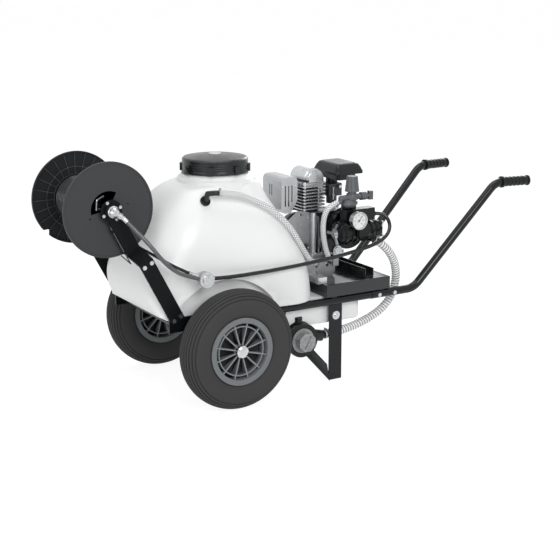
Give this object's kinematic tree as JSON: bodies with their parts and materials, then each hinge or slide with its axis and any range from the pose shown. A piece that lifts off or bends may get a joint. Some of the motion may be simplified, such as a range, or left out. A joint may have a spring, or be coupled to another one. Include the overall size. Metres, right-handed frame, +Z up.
{
  "type": "wheeled sprayer cart",
  "caption": "Two-wheeled sprayer cart: moulded tank on a tubular frame with handles, engine-driven diaphragm pump, pressure gauge, suction filter and hose reel.",
  "frame": {"origin": "on the ground, under the middle of the cart's length and width", "axes": "+X from the hose reel to the handles, +Y to the side away from the pump, +Z up"},
  "size_m": [1.7779, 0.6624, 0.823],
  "materials": {
    "black_coated_steel": "semi-gloss black powder coat",
    "dark_platform": "gloss black paint",
    "cast_silver": "as-cast, slightly rough",
    "muffler_silver": "silver paint",
    "zinc_steel": "zinc plated",
    "chrome_steel": "polished",
    "natural_polyethylene": "milky, slightly translucent",
    "black_plastic": "fine moulded",
    "gloss_black_plastic": "smooth moulded",
    "grey_plastic": "moulded",
    "tyre_rubber": "matt",
    "black_rubber": "smooth",
    "black_hose": "smooth satin",
    "clear_braided_hose": "clear with a white braid",
    "clear_ribbed_hose": "clear with a white spiral",
    "gauge_metal": "satin",
    "white_dial": "printed dial",
    "grey_cap_plastic": "smooth, slightly translucent",
    "steel_mesh": "woven"
  },
  "bodies": {
    "cart": {"frame_tubes": "black_coated_steel", "frame_plates": "black_coated_steel", "frame_crossmembers": "black_coated_steel", "frame_bolts": "zinc_steel", "axle": "chrome_steel", "stand_legs": "black_coated_steel", "stand_braces": "black_coated_steel", "platform": "dark_platform", "engine_rails": "zinc_steel", "handle_tube_near": "black_coated_steel", "handle_tube_far": "black_coated_steel", "handle_grips": "black_rubber", "tank_body": "natural_polyethylene", "filler_strainer": "black_plastic", "return_fittings": "black_plastic", "reel_arm_near": "black_coated_steel", "reel_arm_far": "black_coated_steel", "reel_swivel": "zinc_steel", "feed_hose": "black_hose", "hose_tail": "black_hose", "hose_fittings": "zinc_steel", "pressure_hose": "black_hose", "return_hose": "clear_braided_hose", "bypass_hose": "clear_braided_hose", "suction_hose": "clear_ribbed_hose", "hose_clamps": "zinc_steel", "crankcase": "cast_silver", "cylinder": "cast_silver", "muffler_guard": "muffler_silver", "air_cleaner": "black_plastic", "carburettor": "cast_silver", "fuel_tank": "black_plastic", "starter_housing": "black_plastic", "gearbox": "gloss_black_plastic", "pump_body": "gloss_black_plastic", "pump_heads": "gloss_black_plastic", "pump_manifold": "gloss_black_plastic", "gauge_case": "gauge_metal", "filter_body": "gloss_black_plastic"},
    "near_wheel": {"tyre_near": "tyre_rubber", "rim_near": "grey_plastic"},
    "far_wheel": {"tyre_far": "tyre_rubber", "rim_far": "grey_plastic"},
    "reel": {"reel_flange_near": "black_coated_steel", "reel_flange_far": "black_coated_steel", "reel_drum": "black_coated_steel", "reel_shaft": "zinc_steel", "wound_hose": "black_hose"},
    "lid_seal": {"lid_gasket": "black_rubber"},
    "lid": {"tank_lid": "black_plastic"},
    "filter_insert": {"filter_screen": "steel_mesh"},
    "filter_lid": {"filter_cap": "grey_cap_plastic"},
    "pressure_knob": {"regulator_knob": "grey_plastic"},
    "delivery_tap": {"tap_lever": "grey_plastic"},
    "reel_lock": {"reel_lock_rod": "zinc_steel"},
    "needle": {"gauge_needle": "black_plastic"},
    "fuel_lid": {"fuel_cap": "black_plastic"},
    "starter_pull_grip": {"starter_grip": "black_rubber"},
    "engine_shaft": {"crankshaft": "zinc_steel"},
    "pump_shaft": {"pump_gear": "zinc_steel"}
  },
  "joints": [
    {"name": "near_wheel_spin", "type": "hinge", "parent": "cart", "child": "near_wheel", "pos_m": [-0.36897, -0.282, 0.2], "axis": [0, 1, 0], "continuous": true},
    {"name": "far_wheel_spin", "type": "hinge", "parent": "cart", "child": "far_wheel", "pos_m": [-0.36897, 0.282, 0.2], "axis": [0, 1, 0], "continuous": true},
    {"name": "reel_spin", "type": "hinge", "parent": "cart", "child": "reel", "pos_m": [-0.73697, 0, 0.671], "axis": [0, 1, 0], "continuous": true},
    {"name": "lid_lift", "type": "slide", "parent": "cart", "child": "lid_seal", "axis": [0, 0, 1], "range_m": [0, 0.08]},
    {"name": "lid_turn", "type": "hinge", "parent": "lid_seal", "child": "lid", "pos_m": [-0.28697, 0, 0.74], "axis": [0, 0, 1], "range_deg": [0, 60]},
    {"name": "filter_pull", "type": "slide", "parent": "cart", "child": "filter_insert", "axis": [0, -1, 0], "range_m": [0, 0.09]},
    {"name": "filter_cap_turn", "type": "hinge", "parent": "filter_insert", "child": "filter_lid", "pos_m": [-0.06997, -0.22, 0.163], "axis": [0, -1, 0], "range_deg": [0, 90]},
    {"name": "knob_turn", "type": "hinge", "parent": "cart", "child": "pressure_knob", "pos_m": [0.16803, -0.15, 0.66], "axis": [0, 0, 1], "range_deg": [-135, 135]},
    {"name": "tap_turn", "type": "hinge", "parent": "cart", "child": "delivery_tap", "pos_m": [0.22503, -0.15, 0.627], "axis": [1, 0, 0], "range_deg": [0, 90]},
    {"name": "lock_rod_lift", "type": "slide", "parent": "cart", "child": "reel_lock", "axis": [-0.4664, 0, 0.8846], "range_m": [0, 0.012]},
    {"name": "needle_turn", "type": "hinge", "parent": "cart", "child": "needle", "pos_m": [0.15503, -0.215, 0.556], "axis": [0, 1, 0], "range_deg": [0, 260], "stiffness_Nm_per_rad": 0.002},
    {"name": "fuel_cap_lift", "type": "slide", "parent": "cart", "child": "fuel_lid", "axis": [0, 0, 1], "range_m": [0, 0.04]},
    {"name": "starter_pull", "type": "slide", "parent": "cart", "child": "starter_pull_grip", "axis": [0.8944, 0, 0.4472], "range_m": [0, 0.3], "stiffness_N_per_m": 30},
    {"name": "pump_spin", "type": "hinge", "parent": "cart", "child": "pump_shaft", "pos_m": [0.18703, -0.1, 0.507], "axis": [0, 1, 0], "continuous": true},
    {"name": "crank_spin", "type": "hinge", "parent": "cart", "child": "engine_shaft", "pos_m": [0.11903, -0.09, 0.46], "axis": [0, 1, 0], "continuous": true}
  ],
  "couplings": [
    {"joint": "crank_spin", "follows": "pump_spin", "ratio": -3}
  ]
}
